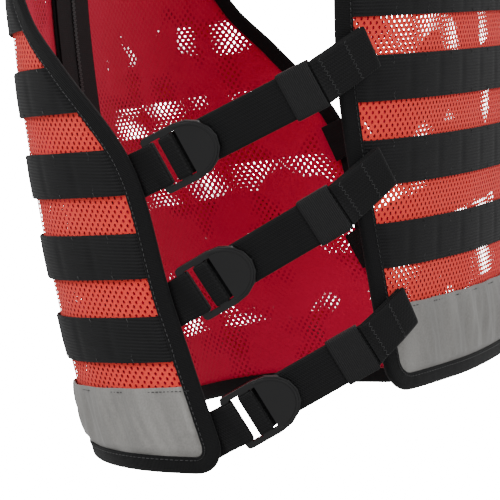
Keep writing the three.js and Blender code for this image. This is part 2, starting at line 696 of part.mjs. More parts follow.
// Flat elastic ring round the strap and its tail.
function keeper(name, place, start) {
  const room = strapLayerGap;
  const low = loadLevel - webbingThickness / 2 - room;
  const high = tailLevel + webbingThickness / 2 + room;
  const half = webbingWidth / 2 + room;
  const vertices = [start, start + keeperWidth].flatMap((s) => [0, tapeThickness].flatMap((grow) => [
    place(s, -half - grow, low - grow), place(s, half + grow, low - grow),
    place(s, half + grow, high + grow), place(s, -half - grow, high + grow)]));
  const at = (end, ring, k) => end * 8 + ring * 4 + (k % 4);
  const faces = [];
  const quad = (a, b, c, d) => faces.push([a, b, c], [a, c, d]);
  for (let k = 0; k < 4; k += 1) {
    quad(at(0, 1, k), at(0, 1, k + 1), at(1, 1, k + 1), at(1, 1, k));
    quad(at(0, 0, k + 1), at(0, 0, k), at(1, 0, k), at(1, 0, k + 1));
    quad(at(1, 1, k), at(1, 1, k + 1), at(1, 0, k + 1), at(1, 0, k));
    quad(at(0, 1, k + 1), at(0, 1, k), at(0, 0, k), at(0, 0, k + 1));
  }
  addMesh(vest, name, vertices, faces, elastic);
}

function sideStraps(side) {
  strapStations.forEach((station, i) => {
    const { place, length } = strapSpace(station, side === 'right' ? -1 : 1);
    const foldStart = length + strapEdgeLead + station.tail - foldLength;
    const path = strapPath(length, station.tail);
    ribbon(`side_strap_${side}_${i + 1}`, path, place, webbingThickness, blackWebbing);
    ribbon(`side_loop_${side}_${i + 1}`, loopPath(), place, webbingThickness, blackWebbing);
    buckle(`side_buckle_${side}_${i + 1}`, place);
    const keeperStart = foldStart - webbingThickness / 2 - stitchGap - keeperWidth;
    keeper(`side_keeper_${side}_${i + 1}`, place, keeperStart);
  });
}

frontPanel('left');
frontPanel('right');
backPanel();
['left', 'right', 'back'].forEach(binding);
webbingRows('left', 0, frontRowCount);
webbingRows('right', 0, frontRowCount);
webbingRows('back', backHemLift + backRowLift, backRowCount);
reflectiveBand('left', 0);
reflectiveBand('right', 0);
reflectiveBand('back', backHemLift);
frontZip();
sideStraps('left');
sideStraps('right');

export default vest;
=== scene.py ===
import math

import bpy
import numpy as np
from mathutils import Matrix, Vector


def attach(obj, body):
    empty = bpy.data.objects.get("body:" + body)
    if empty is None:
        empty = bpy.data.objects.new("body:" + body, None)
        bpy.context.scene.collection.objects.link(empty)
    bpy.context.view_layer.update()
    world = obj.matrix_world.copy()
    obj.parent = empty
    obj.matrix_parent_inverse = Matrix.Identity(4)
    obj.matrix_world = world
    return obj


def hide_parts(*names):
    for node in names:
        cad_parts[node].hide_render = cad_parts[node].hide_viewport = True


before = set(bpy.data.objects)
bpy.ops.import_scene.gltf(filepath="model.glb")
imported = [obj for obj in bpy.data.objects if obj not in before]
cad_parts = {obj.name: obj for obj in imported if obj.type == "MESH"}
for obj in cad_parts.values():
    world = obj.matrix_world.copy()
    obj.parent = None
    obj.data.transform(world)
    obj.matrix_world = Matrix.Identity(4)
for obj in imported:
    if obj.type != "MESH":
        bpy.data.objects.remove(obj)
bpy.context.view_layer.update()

# The camera stands behind the wearer's left side and looks down a little, with a long lens and a
# small roll.
camera_place = (1.3550, 0.5281, -0.3688)
camera_aim = (0.1507, 0.0326, -0.4970)
camera_lens = 173.1
camera_roll = math.radians(-2.4)



def shown(name, data):
    """An object of the scene that holds some data."""
    holder = bpy.data.objects.new(name, data)
    bpy.context.scene.collection.objects.link(holder)
    return holder


camera = shown("camera", bpy.data.cameras.new("camera"))
camera.data.lens = camera_lens
camera.data.sensor_width = 36
camera.location = camera_place
camera_way = Vector(camera_aim) - Vector(camera_place)
camera.rotation_euler = camera_way.to_track_quat("-Z", "Y").to_euler()
camera.rotation_euler.rotate_axis("Z", camera_roll)
bpy.context.scene.camera = camera

# The studio: a wide white floor well below the hem inside a white room, which only the camera sees,
# soft light from all round, and three broad lamps.
floor_level = -0.95
room_reach = 60.0
room_glow = 24.0
world_strength = 0.62


class Wire:
    """A socket of a material, used in Python expressions: each operator adds one Math node."""

    def __init__(self, tree, socket=None):
        self.tree = tree
        self.socket = socket

    def node(self, kind, inputs=(), output=0, **settings):
        """Any other node: its type, its sockets' values or wires, and its settings, set first."""
        made = self.tree.nodes.new("ShaderNode" + kind)
        for name, value in settings.items():
            setattr(made, name, value)
        for name, value in dict(inputs).items():
            if isinstance(value, Wire):
                self.tree.links.new(value.socket, made.inputs[name])
            else:
                made.inputs[name].default_value = value
        return Wire(self.tree, made.outputs[output])

    def maths(self, operation, *values):
        return self.node("Math", enumerate(values), operation=operation)

    def __add__(self, other):
        return self.maths("ADD", self, other)

    def __sub__(self, other):
        return self.maths("SUBTRACT", self, other)

    def __rsub__(self, other):
        return self.maths("SUBTRACT", other, self)

    def __mul__(self, other):
        return self.maths("MULTIPLY", self, other)

    def __truediv__(self, other):
        return self.maths("DIVIDE", self, other)

    __radd__ = __add__
    __rmul__ = __mul__

    def wave(self, pitch):
        """0 to 1 and back once in each pitch of the wire's value."""
        return self.maths("SINE", self * (2 * math.pi / pitch)) * 0.5 + 0.5

    def part(self):
        return self.maths("FRACT", self)

    def step(self, low, high):
        """0 below low, 1 above high, even between them."""
        return self.node("MapRange", {"Value": self, "From Min": low, "From Max": high})

    def mix(self, low, high):
        """The wire's value chooses between two colours, each as it is measured on a screen."""
        colors = {6: screen_color(*low), 7: screen_color(*high)}
        return self.node("Mix", {0: self, **colors}, output=2, data_type="RGBA")

    def noise(self, scale, detail=2.0, stretch=(1, 1, 1)):
        """Cloudy values from 0 to 1 over the piece's own place."""
        place = self.node("TexCoord", output=3)
        spread = self.node("VectorMath", {0: place, 1: stretch}, operation="MULTIPLY")
        return self.node("TexNoise", {"Vector": spread, "Scale": scale, "Detail": detail})

    def cloth(self):
        """The two distances along the cloth, in metres, from the piece's own UV map."""
        flat = self.node("UVMap", uv_map="cloth")
        return (self.node("SeparateXYZ", {0: flat}, output=0),
                self.node("SeparateXYZ", {0: flat}, output=1))


def new_finish(name, **constants):
    """A material, the start of its expressions, and a function that feeds the shader's sockets."""
    finish = bpy.data.materials.new(name)
    finish.use_nodes = True
    tree = finish.node_tree
    shader = tree.nodes["Principled BSDF"]
    for socket, value in constants.items():
        shader.inputs[socket.replace("_", " ")].default_value = value

    def feed(**wires):
        for socket, wire in wires.items():
            tree.links.new(wire.socket, shader.inputs[socket.replace("_", " ")])

    return finish, Wire(tree), feed


def bumped(start, height, depth):
    """The normal of a surface whose relief is height times depth, in metres."""
    return start.node("Bump", {"Height": height, "Distance": depth, "Strength": 1.0})


def screen_color(red, green, blue):
    """A colour given as it is measured on a screen, 0 to 255."""
    parts = [part / 255 for part in (red, green, blue)]
    return tuple(p / 12.92 if p < 0.04 else ((p + 0.055) / 1.055) ** 2.4 for p in parts) + (1.0,)


white_finish, start, feed = new_finish("studio_white", Roughness=0.9, Emission_Strength=room_glow)
feed(Base_Color=start.noise(0.8).mix((250, 250, 250), (255, 255, 255)),
     Emission_Color=start.noise(0.8).mix((252, 252, 252), (255, 255, 255)))
room_corners = [(x * room_reach, y * room_reach, z * room_reach) for z in (-1, 1)
                for x, y in ((-1, -1), (1, -1), (1, 1), (-1, 1))]
room_faces = [(0, 1, 2, 3), (7, 6, 5, 4), (0, 4, 5, 1), (1, 5, 6, 2), (2, 6, 7, 3), (3, 7, 4, 0)]
floor_corners = [(x, y, floor_level) for x, y, _ in room_corners[:4]]
stage_shapes = (("room", room_corners, room_faces), ("floor", floor_corners, [(0, 1, 2, 3)]))
for name, corners, faces in stage_shapes:
    stage_mesh = bpy.data.meshes.new(name)
    stage_mesh.from_pydata(corners, [], faces)
    stage_mesh.materials.append(white_finish)
    stage_piece = shown(name, stage_mesh)
    stage_piece.visible_diffuse = False
    stage_piece.visible_glossy = False
    stage_piece.visible_shadow = False

world = bpy.data.worlds.new("studio")
world.use_nodes = True
world.node_tree.nodes["Background"].inputs["Color"].default_value = (1, 1, 1, 1)
world.node_tree.nodes["Background"].inputs["Strength"].default_value = world_strength
bpy.context.scene.world = world


def lamp(name, place, aim, size, power):
    """A square area lamp at a place, turned to its aim."""
    light = bpy.data.lights.new(name, "AREA")
    light.size = size
    light.energy = power
    holder = shown(name, light)
    holder.location = place
    holder.rotation_euler = (Vector(aim) - Vector(place)).to_track_quat("-Z", "Y").to_euler()


near_side = (0.05, 0.0, -0.45)
lamp("lamp_high", (1.6, -0.6, 1.3), near_side, 1.2, 36)
lamp("lamp_camera", (1.5, 1.8, 0.5), near_side, 1.4, 26)
lamp("lamp_far", (-1.6, 0.2, 1.2), (0.0, 0.0, -0.4), 1.4, 14)

# The body that the vest hangs on: a rounded section that widens up to the chest and closes over
# the shoulders. Sizes are in millimetres, and a mesh is turned into metres when it is made.
vest_height = 620
hem_lift = 38
chest_height = 400
chest_half_width = 186
chest_depths = {"front": 146, "back": 126}
section_power = 2.5
neck_half_width = 84
shoulder_slope = 0.36
mesh_thickness = 1.2
tape_thickness = 1.0
webbing_thickness = 1.3
layer_gap = 0.88
leg_outside = mesh_thickness + layer_gap
row_top = leg_outside + webbing_thickness

# The section's half width and depths at shares of the chest's height.
body_heights = (0.0, 0.25, 0.5, 0.75, 1.0)
body_widths = (0.860, 0.892, 0.935, 0.978, 1.0)
body_depths = {"front": (0.692, 0.865, 0.970, 1.0, 0.930), "back": (0.889, 0.921, 0.952, 0.984, 0.968)}
# Soft dents and swells: angle, height share, reach round, reach up, depth share.
body_folds = (
    (38, 0.10, 16, 0.30, 0.014), (-52, 0.22, 14, 0.35, -0.020), (158, 0.16, 12, 0.32, -0.020),
    (210, 0.30, 14, 0.40, 0.018), (64, 0.34, 10, 0.18, -0.014))
# The panels' edges on that body: shares of the vest's height, and angles from the front's or the
# back's middle. The neckline's second row holds shares of the neck's half width.
front_edge = (
    (0.0, 0.152, 0.282, 0.369, 0.413, 0.484, 0.581, 0.694, 0.839, 0.968, 1.0),
    (99.8, 86.6, 78.6, 62.0, 52.5, 43.5, 38.0, 36.5, 39.3, 46.6, 48.8))
back_edge = (
    (0.061, 0.161, 0.323, 0.435, 0.516, 0.581, 0.694, 0.839, 0.968, 1.0),
    (38.6, 43.4, 49.2, 49.6, 48.0, 45.4, 42.0, 42.4, 46.6, 48.8))
neckline = ((0.710, 0.758, 0.839, 0.919, 1.0), (0.155, 0.36, 0.66, 0.88, 1.0))
back_neck_depth = 0.15
seam_half_gap = 0.45
front_top = vest_height - seam_half_gap
corner_radii = {"front": 20, "back": 16, "zip": 6}
zip_half_gap = 13


def read(table, place):
    """Smooth reading of a table: between two rows, a cubic with the slopes of the rows beside them."""
    heights, values = np.array(table[0], float), np.array(table[1], float)
    rows = np.arange(len(heights))
    low, high = np.maximum(rows - 1, 0), np.minimum(rows + 1, len(rows) - 1)
    slope = (values[high] - values[low]) / (heights[high] - heights[low])
    place = np.clip(place, heights[0], heights[-1])
    i = np.clip(np.searchsorted(heights, place, side="right") - 1, 0, len(rows) - 2)
    span = heights[i + 1] - heights[i]
    t = (place - heights[i]) / span
    rise = values[i + 1] - values[i]
    bend = t * (1 - t) * span * ((1 - t) * slope[i] - t * slope[i + 1])
    return values[i] + t * t * (3 - 2 * t) * rise + bend


def skin(angle, height):
    """The body's surface. x is half width times the section's sine, y is depth times its cosine, and
    above the chest the section shrinks in depth by a cosine while the height rises by a sine."""
    angle, height = np.broadcast_arrays(np.asarray(angle, float), np.asarray(height, float))
    share = height / chest_height
    top = vest_height - chest_height
    lift = np.clip((height - chest_height) / top, 0, 1) * np.pi / 2
    front = np.abs(angle) < 90
    half_width = chest_half_width * read((body_heights, body_widths), share)
    depth = np.where(front, chest_depths["front"] * read((body_heights, body_depths["front"]), share),
                     chest_depths["back"] * read((body_heights, body_depths["back"]), share))
    s, c = np.sin(np.radians(angle)), np.cos(np.radians(angle))
    ring = (np.abs(s) ** section_power + np.abs(c) ** section_power) ** (-1 / section_power)
    fold = 1 + sum(deep * np.exp(-((angle - a) / wide) ** 2 - ((share - h) / tall) ** 2)
                   for a, h, wide, tall, deep in body_folds)
    x = half_width * ring * s * fold
    y = -depth * ring * c * np.cos(lift) * fold
    fall = np.maximum(np.abs(x) - neck_half_width, 0) * shoulder_slope * np.sin(lift) ** 2
    z = np.minimum(height, chest_height) + top * np.sin(lift) - fall - vest_height
    return np.stack([x, y, z], axis=-1)


def unit(vectors):
    return vectors / np.maximum(np.linalg.norm(vectors, axis=-1, keepdims=True), 1e-9)


def skin_frame(angle, height):
    """The surface's point, its outward normal and its rates of change with angle and height."""
    small = 0.05
    low = np.minimum(height, vest_height - small)
    per_angle = (skin(angle + small, low) - skin(angle - small, low)) / (2 * small)
    per_height = (skin(angle, low + small) - skin(angle, low - small)) / (2 * small)
    return skin(angle, height), unit(np.cross(per_angle, per_height)), per_angle, per_height


def skin_point(angle, height, offset):
    point, normal, _, _ = skin_frame(angle, height)
    return point + normal * np.asarray(offset)[..., None]


def skin_step(per_angle, per_height, step):
    """A step in space that lies in the surface, as a step in angle and one in height."""
    aa, ah, hh = (np.sum(p * q, -1) for p, q in
                  ((per_angle, per_angle), (per_angle, per_height), (per_height, per_height)))
    a, h = np.sum(per_angle * step, -1), np.sum(per_height * step, -1)
    det = aa * hh - ah * ah
    return (a * hh - h * ah) / det, (h * aa - a * ah) / det


def corner_pull(above, radius):
    """How far a rounded corner lies inside the straight edge, at a distance above the hem."""
    inside = np.clip(radius - above, 0, radius)
    return radius - np.sqrt(radius * radius - inside * inside)


def pulled_in(angle, height, length):
    """The angle that lies a length nearer to the front's middle along the skin."""
    per_angle = skin_frame(angle, height)[2]
    return angle - length / np.linalg.norm(per_angle, axis=-1)


def angle_at_x(x, height):
    """The angle at which the section, without its folds, reaches x."""
    half_width = chest_half_width * read((body_heights, body_widths), np.asarray(height) / chest_height)
    share = np.minimum(np.abs(x) / half_width, 0.99)
    turn = np.arctan(share / (1 - share ** section_power) ** (1 / section_power))
    return np.sign(x) * np.degrees(turn)


def front_outer(height):
    edge = read(front_edge, height / vest_height)
    return pulled_in(edge, height, corner_pull(height, corner_radii["front"]))


def front_inner(height):
    half = read(neckline, height / vest_height) * neck_half_width
    below = height / vest_height < neckline[0][0]
    x = np.maximum(np.where(below, zip_half_gap, half), zip_half_gap)
    return angle_at_x(x + corner_pull(height, corner_radii["zip"]), height)


def back_outer(height):
    edge = read(back_edge, height / vest_height)
    return 180 - pulled_in(edge, height, corner_pull(height - hem_lift, corner_radii["back"]))


def back_top(share):
    """The back panel's top at a share of its width: the shoulder seams and the dip of the neck."""
    x = skin(180 - share * (180 - back_outer(vest_height)), vest_height - 1.0)[..., 0]
    dip = np.maximum(1 - (np.abs(x) / neck_half_width) ** 2.2, 0)
    return vest_height - seam_half_gap - dip * back_neck_depth * vest_height


def outline(side, pitch):
    """A panel's closed outline as angles and heights, one place every pitch along the skin."""
    if side == "back":
        u = np.linspace(-1, 1, 160)
        hem = np.stack([180 - u * (180 - back_outer(hem_lift)), np.full_like(u, hem_lift)], -1)
        heights = hem_lift + np.linspace(0, 1, 260) ** 1.6 * (back_top(1.0) - hem_lift)
        rise = np.stack([back_outer(heights), heights], -1)
        tops = back_top(u)
        top = np.stack([180 - u * (180 - back_outer(tops)), tops], -1)[::-1]
        other = np.stack([360 - back_outer(heights), heights], -1)[::-1]
        loop = np.concatenate([hem[1:-1], rise, top[1:-1], other])
    else:
        heights = np.linspace(0, 1, 320) ** 1.5 * front_top
        hem_angles = np.linspace(front_inner(0.0), front_outer(0.0), 120)[1:-1]
        seam_angles = np.linspace(front_outer(front_top), front_inner(front_top), 20)[1:-1]
        hem = np.stack([hem_angles, np.zeros_like(hem_angles)], -1)
        seam = np.stack([seam_angles, np.full_like(seam_angles, front_top)], -1)
        rise = np.stack([front_outer(heights), heights], -1)
        fall = np.stack([front_inner(heights), heights], -1)[::-1]
        loop = np.concatenate([hem, rise, seam, fall])
        if side == "right":
            loop = loop * (-1, 1)
    loop = np.concatenate([loop, loop[:1]])
    points = skin(loop[:, 0], loop[:, 1])
    run = np.concatenate([[0], np.cumsum(np.linalg.norm(np.diff(points, axis=0), axis=1))])
    stops = np.linspace(0, run[-1], int(run[-1] / pitch) + 1)[:-1]
    return np.stack([np.interp(stops, run, loop[:, k]) for k in (0, 1)], -1)


outline_pitch = 3.0
outlines = {side: outline(side, outline_pitch) for side in ("left", "right", "back")}
edge_points = {side: skin(places[:, 0], places[:, 1]) for side, places in outlines.items()}


def level_ends(side, heights, clearance):
    """For each height, the first and last angle that keep a clearance from the panel's outline."""
    ends = []
    for height in np.atleast_1d(heights):
        if side == "back":
            angles = np.linspace(back_outer(height), 360 - back_outer(height), 500)
        else:
            hand = 1 if side == "left" else -1
            angles = np.linspace(front_inner(height), front_outer(height), 400) * hand
        away = skin(angles, height)[:, None, :] - edge_points[side][None, :, :]
        clear = np.sqrt((away ** 2).sum(-1).min(1)) >= clearance
        inside = np.flatnonzero(clear)
        ends.append((angles[inside[0]], angles[inside[-1]]) if len(inside) else (angles[0], angles[0]))
    return np.array(ends)


def along_row(angles, heights):
    """Distance along each row of a grid of places, in millimetres, from the row's first place."""
    points = skin(angles, heights)
    steps = np.linalg.norm(np.diff(points, axis=1), axis=2)
    return np.concatenate([np.zeros((len(points), 1)), np.cumsum(steps, axis=1)], axis=1)


def grid_faces(rows, columns, closed=False):
    """Four-cornered faces of a grid, row by row; closed joins the last column to the first."""
    r = np.arange(rows - 1)[:, None]
    c = np.arange(columns if closed else columns - 1)[None, :]
    after = (c + 1) % columns
    low, high = r * columns, (r + 1) * columns
    return np.stack([low + c, low + after, high + after, high + c], -1).reshape(-1, 4)


def ring_faces(count, around):
    """Faces of a closed tube: count rings of places, of which the last meets the first."""
    first = np.arange(around)
    after = (first + 1) % around
    end = (count - 1) * around
    seam = np.stack([end + first, end + after, after, first], -1)
    return np.concatenate([grid_faces(count, around, closed=True), seam])


def make_piece(name, points, faces, flat, finish, slot_name, *nodes, smooth=40):
    """A mesh of points in millimetres and faces of four, with the cloth's own distances as UV."""
    mesh = bpy.data.meshes.new(name)
    mesh.from_pydata((points.reshape(-1, 3) * 0.001).tolist(), [], faces.tolist())
    layer = mesh.uv_layers.new(name="cloth")
    corners = np.empty(len(mesh.loops), int)
    mesh.loops.foreach_get("vertex_index", corners)
    layer.data.foreach_set("uv", (flat.reshape(-1, 2)[corners] * 0.001).astype(np.float32).ravel())
    mesh.shade_smooth()
    mesh.set_sharp_from_angle(angle=math.radians(smooth))
    mesh.materials.append(finish)
    piece = shown(name, mesh)
    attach(piece, "root")
    if nodes:
        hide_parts(*nodes)
    return piece


# The three mesh panels: a red-orange outer layer and a crimson lining, both of knitted mesh with
# staggered oval holes. The lining lies a little askew and its holes are filled but for cloudy
# patches, so the panels can be seen through in patches only. The binding is sewn round both layers.
hole_pitch = (0.0044, 0.0051)
hole_reach = (0.0008, 0.00098)
mesh_inset = 4
mesh_rows = 190
front_columns = 90
back_columns = 161
knit_pitch = 0.0009
filling_blur = 0.14
never_filled = 2.0


def mesh_cloth(name, shade, bright, closed):
    """Knitted mesh between two colours; closed is where its cloudy value starts to fill the holes."""
    finish, start, feed = new_finish(name, Sheen_Weight=0.08, Sheen_Roughness=0.5,
                                     Specular_IOR_Level=0.25)
    across, up = start.cloth()
    near_hole = None
    for shift in (0.0, 0.5):
        aside = ((across / hole_pitch[0] + shift).part() - 0.5) * (hole_pitch[0] / hole_reach[0])
        above = ((up / hole_pitch[1] + shift).part() - 0.5) * (hole_pitch[1] / hole_reach[1])
        distance = start.maths("SQRT", aside * aside + above * above)
        near_hole = distance if near_hole is None else start.maths("MINIMUM", near_hole, distance)
    knit = (across * 2.0 + up).wave(knit_pitch) * (across * 2.0 - up).wave(knit_pitch)
    rim = 1 - near_hole.step(1.0, 1.5)
    filled = start.noise(26.0).step(closed, closed + filling_blur)
    feed(Base_Color=(start.noise(30.0) * 0.7 + knit * 0.3).mix(shade, bright),
         Roughness=knit * 0.15 + 0.72,
         Alpha=start.maths("MAXIMUM", near_hole.step(0.92, 1.08), filled),
         Normal=bumped(start, knit * 0.35 + rim * 0.65, 0.00025))
    return finish


mesh_layers = {
    "outer": mesh_cloth("knitted_mesh", (248, 50, 42), (255, 80, 66), never_filled),
    "inner": mesh_cloth("knitted_lining", (208, 8, 58), (232, 26, 78), 0.36)}


def puckers(angle, height, seed):
    """Small drawn-in ripples of the cloth, from a few waves that run at odd slopes over it."""
    draw = np.random.default_rng(seed)
    total = np.zeros_like(angle)
    for _ in range(7):
        slope, turns, lag = draw.uniform(-0.02, 0.02), draw.uniform(0.10, 0.28), draw.uniform(0, 6.3)
        total = total + np.sin(angle * turns + height * slope * 4 + lag)
    return total / 7


def mesh_panel(side, name, node, angles, heights, u_shift, seed):
    """Outer and inner layer over one grid of places; each is a sheet with its own lie of the holes."""
    u = along_row(angles, heights)
    u = u - u[:, :1] + u_shift[:, None]
    column = skin(np.full(len(heights), 180.0 if side == "back" else 25.0), heights.mean(1))
    rise = np.concatenate([[0], np.cumsum(np.linalg.norm(np.diff(column, axis=0), axis=1))])
    v = np.interp(heights, heights.mean(1), rise)
    wave = puckers(angles, heights, seed)
    wobble = 3.0 * np.sin(u / 31.0 + v / 47.0) + 2.0 * np.sin(v / 23.0 - u / 61.0)
    area = None
    for layer, offset, tilt, stretch, swell in (
            ("outer", mesh_thickness, 0.0, 1.0, 0.45), ("inner", 0.0, 0.075, 1.03, 0.35)):
        lie = wobble * (layer == "inner") * 0.45
        flat = np.stack([u * stretch + v * tilt + lie, v * stretch - u * tilt + lie], -1)
        points = skin_point(angles, heights, offset + swell * wave)
        faces = grid_faces(*angles.shape)
        if side == "right":
            faces = faces[:, ::-1]
        nodes = (node,) if layer == "outer" else ()
        piece = make_piece(f"{name}_{layer}", points, faces, flat, mesh_layers[layer], "mesh_fabric",
                           *nodes, smooth=180)
        if area is None:
            area = sum(face.area for face in piece.data.polygons)


def front_grid(hand):
    """A front panel's places, an inset clear of its outline, and each row's x at its inner end."""
    heights = mesh_inset + np.linspace(0, 1, mesh_rows) * (front_top - 2 * mesh_inset)
    inner = angle_at_x(skin(front_inner(heights), heights)[:, 0] + mesh_inset, heights)
    slant = np.abs(np.gradient(skin(front_outer(heights), heights)[:, 0], heights))
    outer = pulled_in(front_outer(heights), heights, mesh_inset * np.sqrt(1 + slant ** 2))
    share = np.linspace(0, 1, front_columns)[None, :]
    angles = inner[:, None] + (outer - inner)[:, None] * share
    places = angles * hand, np.repeat(heights[:, None], front_columns, 1)
    return places, skin(places[0][:, 0], heights)[:, 0]


for side, hand, seed in (("left", 1, 11), ("right", -1, 12)):
    (angles, heights), shift = front_grid(hand)
    mesh_panel(side, f"mesh_front_{side}", f"front_mesh_{side}", angles, heights, np.abs(shift), seed)

shares = np.linspace(-1, 1, back_columns)
panel_top = back_top(np.clip(shares, -0.97, 0.97)) - mesh_inset - 1
rises = np.linspace(0, 1, mesh_rows)[:, None]
heights = hem_lift + mesh_inset + rises * (panel_top - hem_lift - mesh_inset)[None, :]
half_angle = 180 - back_outer(heights)
per_angle = skin_frame(180 - half_angle, heights)[2]
half_angle = half_angle - mesh_inset / np.linalg.norm(per_angle, axis=-1)
angles = 180 + shares[None, :] * half_angle
u_shift = -along_row(angles, heights)[:, back_columns // 2]
mesh_panel("back", "mesh_back", "back_mesh", angles, heights, u_shift, 13)

# Binding: 10 mm black ribbed tape folded round every panel edge and sewn through with one line of
# thread near its inner edge. The fold is round, and the tape stands clear of the cloth inside it.
binding_width = 10
binding_seam = binding_width - 1.8
binding_waist = 6
tape_black = (6, 6, 7)
tape_painted_sheen = (16, 16, 17)
tape_rib = 0.0009
nose = (mesh_thickness + 2 * layer_gap + 2 * tape_thickness) / 2

tape_finish, start, feed = new_finish("ribbed_tape", Sheen_Weight=0.06, Specular_IOR_Level=0.15)
across, up = start.cloth()
rib = across.wave(tape_rib)
weave = rib * 0.75 + up.wave(tape_rib * 1.3) * 0.25
# The tape's colour is lighter on the crests of its ribs, a painted sheen, and also varies in random
# cloudy tone.
feed(Base_Color=(weave * 0.6 + start.noise(60.0) * 0.4).mix(tape_black, tape_painted_sheen),
     Roughness=rib * 0.2 + 0.62,
     Normal=bumped(start, weave, 0.00018))

thread_finish, start, feed = new_finish("black_thread", Sheen_Weight=0.2)
feed(Base_Color=start.noise(900.0).mix((10, 10, 11), (34, 34, 36)),
     Roughness=start.noise(400.0) * 0.3 + 0.4)

# Along a thread: share of its length, share of its width, lift off the cloth.
thread_profile = ((0.0, 0.4, -0.25), (0.22, 1.0, 0.12), (0.78, 1.0, 0.12), (1.0, 0.4, -0.25))
thread_radius = 0.24


def stitches(name, starts, ends, normals):
    """Short threads from starts to ends. Each is a four-sided tube whose ends dip into the cloth."""
    starts, ends, normals = (np.asarray(a, float).reshape(-1, 3) for a in (starts, ends, normals))
    along = unit(ends - starts)
    side = np.cross(normals, along)
    rings = []
    for share, width, lift in thread_profile:
        middle = starts + (ends - starts) * share + normals * lift
        ring = [middle + (side * a + normals * b) * thread_radius * width
                for a, b in ((1, 0), (0, 1), (-1, 0), (0, -1))]
        rings.append(np.stack(ring, 1))
    points = np.stack(rings, 1).reshape(-1, 3)
    one = np.concatenate([grid_faces(4, 4, closed=True), [(3, 2, 1, 0), (12, 13, 14, 15)]])
    faces = (one[None] + 16 * np.arange(len(starts))[:, None, None]).reshape(-1, 4)
    make_piece(name, points, faces, points[:, :2], thread_finish, "binding_tape")


def tape_section():
    """A rounded channel: out over the fold as a half ellipse, back inside it one tape thickness in."""
    low = -layer_gap - tape_thickness
    high = low + 2 * nose
    bow = np.linspace(0, np.pi, 9)
    outer = [(nose - nose * np.sin(a), (low + high) / 2 - nose * np.cos(a)) for a in bow]
    inner_nose = nose - tape_thickness
    inner = [(nose - inner_nose * np.sin(a), (low + high) / 2 + inner_nose * np.cos(a))
             for a in bow[::2]]
    soft = 0.3
    return ([(binding_width, low + soft), (binding_width - soft, low), (binding_waist, low - 0.1)]
            + outer
            + [(binding_waist, high + 0.1), (binding_width - soft, high), (binding_width, high - soft),
               (binding_width, high - tape_thickness)] + inner + [(binding_width, low + tape_thickness)])


def bind_edge(side, name, node):
    """The channel is carried round the outline, square to it and to the skin."""
    angle, height = outlines[side].T
    here = edge_points[side]
    _, normal, per_angle, per_height = skin_frame(angle, height)
    ahead = unit(np.roll(here, -1, 0) - here)
    along = unit(ahead + np.roll(ahead, 1, 0))
    miter = 1 / np.maximum(np.sum(along * ahead, -1, keepdims=True), 0.6)
    hand = 1 if side == "left" else -1
    inward = unit(np.cross(normal, along)) * miter * hand
    step_angle, step_height = skin_step(per_angle, per_height, inward)
    section = np.array(tape_section())
    wide, offset = section[None, :, 0], section[None, :, 1]
    crimp = 0.10 * np.sin(np.arange(len(here)) * 2.1)[:, None] * (wide > 3)
    places = angle[:, None] + step_angle[:, None] * wide
    levels = np.minimum(height[:, None] + step_height[:, None] * wide, front_top)
    points = skin_point(places, levels, offset + crimp)
    run = np.concatenate([[0], np.cumsum(np.linalg.norm(np.diff(here, axis=0), axis=1))])
    round_it = np.concatenate([[0], np.cumsum(np.linalg.norm(np.diff(section, axis=0), axis=1))])
    flat = np.stack(np.broadcast_arrays(run[:, None], round_it[None, :]), -1)
    faces = ring_faces(len(here), len(section))
    if hand == 1:
        faces = faces[:, ::-1]
    make_piece(name, points, faces, flat, tape_finish, "binding_tape", node)
    line_angle = angle + step_angle * binding_seam
    line_height = np.minimum(height + step_height * binding_seam, front_top)
    line = skin_point(line_angle, line_height, section[:, 1].max() + 0.1)
    middle = (line + np.roll(line, -1, 0)) / 2
    half = (np.roll(line, -1, 0) - line) * 0.38
    stitches(name + "_stitching", middle - half, middle + half, normal)


bind_edge("left", "binding_front_left", "front_binding_left")
bind_edge("right", "binding_front_right", "front_binding_right")
bind_edge("back", "binding_back", "back_binding")

# Rows of 25 mm black webbing, sewn down across the mesh by an upright column of stitches about
# every 29 mm, so that each stretch between two columns bows out a little as a loop to hang gear on.
webbing_width = 25
row_pitch = 46
first_row = 64
back_row_lift = 7
front_row_drop = 12
row_counts = {"left": 6, "right": 6, "back": 7}
stitch_gap = 0.9
tuck_reach = 5
binding_reach = binding_width + stitch_gap
column_pitch = 29.5
column_margin = 1.5
column_threads = 9
column_lean = 0.28
loop_bow = 0.35
column_depth = 0.2
placket_inner = zip_half_gap + binding_reach
placket_outer = placket_inner + 25
web_black = (6, 6, 7)
web_painted_highlight_and_wear = (32, 32, 33)
web_rib = 0.00185

web_finish, start, feed = new_finish("ribbed_webbing", Sheen_Weight=0.05, Specular_IOR_Level=0.15)
across, up = start.cloth()
rib = up.wave(web_rib)
pick = (across + up * 0.35).wave(0.0011)
worn = start.noise(45.0, stretch=(1, 1, 3))
# The webbing's colour is lighter on the crests of its ribs and picks, a painted highlight, and in
# stretched cloudy streaks of wear.
feed(Base_Color=(rib * 0.45 + pick * 0.15 + worn * 0.4).mix(web_black, web_painted_highlight_and_wear),
     Roughness=rib * 0.18 + 0.6,
     Normal=bumped(start, rib * 0.8 + pick * 0.2, 0.00028))


